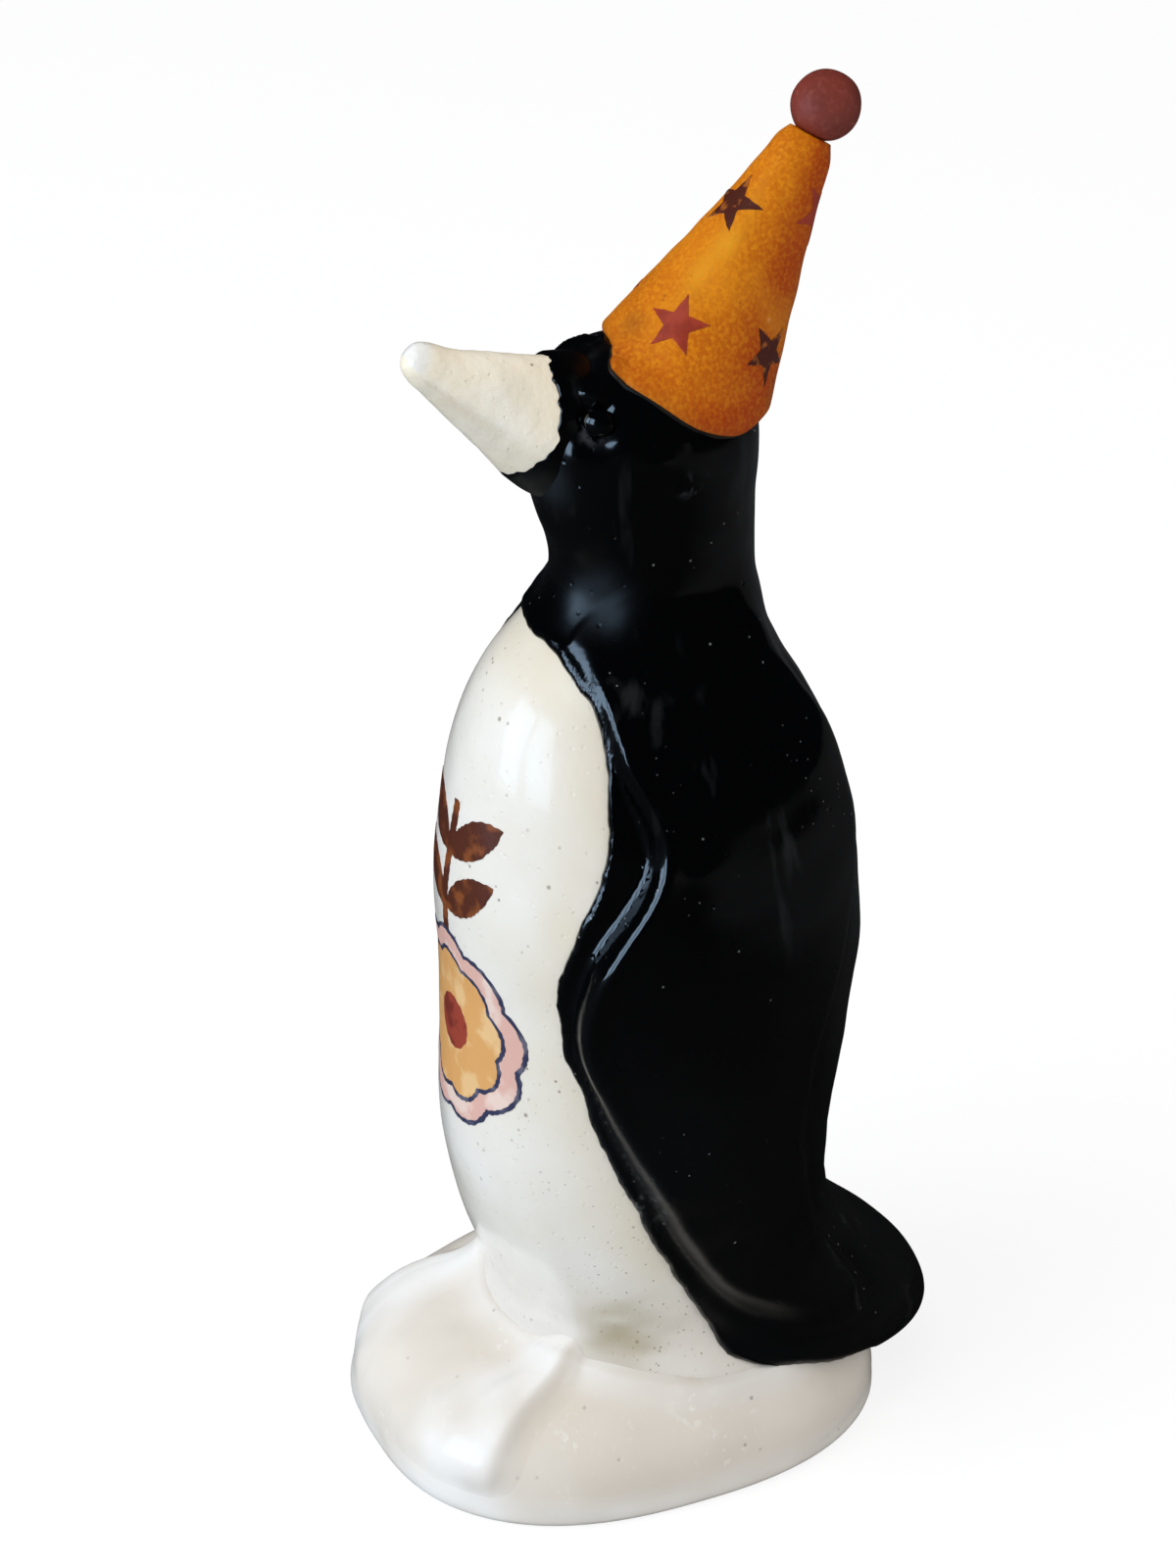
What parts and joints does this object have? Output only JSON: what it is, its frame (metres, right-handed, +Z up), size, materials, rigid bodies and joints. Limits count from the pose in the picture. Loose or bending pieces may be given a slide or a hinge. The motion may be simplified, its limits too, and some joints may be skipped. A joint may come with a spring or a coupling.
{
  "type": "penguin figurine",
  "caption": "Standing glazed ceramic penguin on an oval mound base, with a tilted conical party hat with stars and a printed flower on the belly.",
  "frame": {"origin": "middle of the flat underside of the base, on the surface that the figurine stands on", "axes": "+Z up from the base to the ball on the hat; the beak points to -Y and the tail to +Y; +X is the left side of the bird"},
  "size_m": [0.0868, 0.1205, 0.2678],
  "materials": {
    "white_glaze": "glossy off-white glaze with fine dark specks, over a pale clay body",
    "base_glaze": "glossy pinkish beige glaze, warmer stains where it is thin",
    "bare_clay": "bare fired clay, matt",
    "beak_glaze": "semi-gloss ivory glaze with fine specks",
    "black_glaze": "thick, very glossy black glaze with pinholes and fine scratches",
    "hat_glaze": "mottled orange ochre glaze, satin",
    "ball_glaze": "dull maroon glaze, nearly matt",
    "bed_slip": "dark slip, matt",
    "star_transfer": "fired red print",
    "star_transfer_dark": "fired dark brown print",
    "petal_transfer": "fired orange yellow print",
    "heart_transfer": "fired rust red print",
    "border_transfer": "fired pale pink print",
    "line_transfer": "fired dark blue print",
    "leaf_transfer": "fired dark brown print"
  },
  "bodies": {
    "root": {"body_shell": "white_glaze", "base_mound": "base_glaze", "base_floor": "bare_clay", "beak": "beak_glaze", "left_wing": "black_glaze", "right_wing": "black_glaze", "tail": "black_glaze", "left_foot": "base_glaze", "right_foot": "base_glaze", "left_eye": "black_glaze", "right_eye": "black_glaze", "mantle_glaze": "black_glaze", "hat_cone": "hat_glaze", "hat_bedding": "bed_slip", "hat_ball": "ball_glaze", "hat_star_1": "star_transfer", "hat_star_2": "star_transfer_dark", "hat_star_3": "star_transfer", "hat_star_4": "star_transfer_dark", "hat_star_5": "star_transfer", "hat_star_6": "star_transfer_dark", "hat_star_7": "star_transfer", "hat_star_8": "star_transfer_dark", "flower_heart": "heart_transfer", "flower_petals": "petal_transfer", "flower_border": "border_transfer", "flower_lines": "line_transfer", "flower_leaves": "leaf_transfer"}
  },
  "joints": []
}
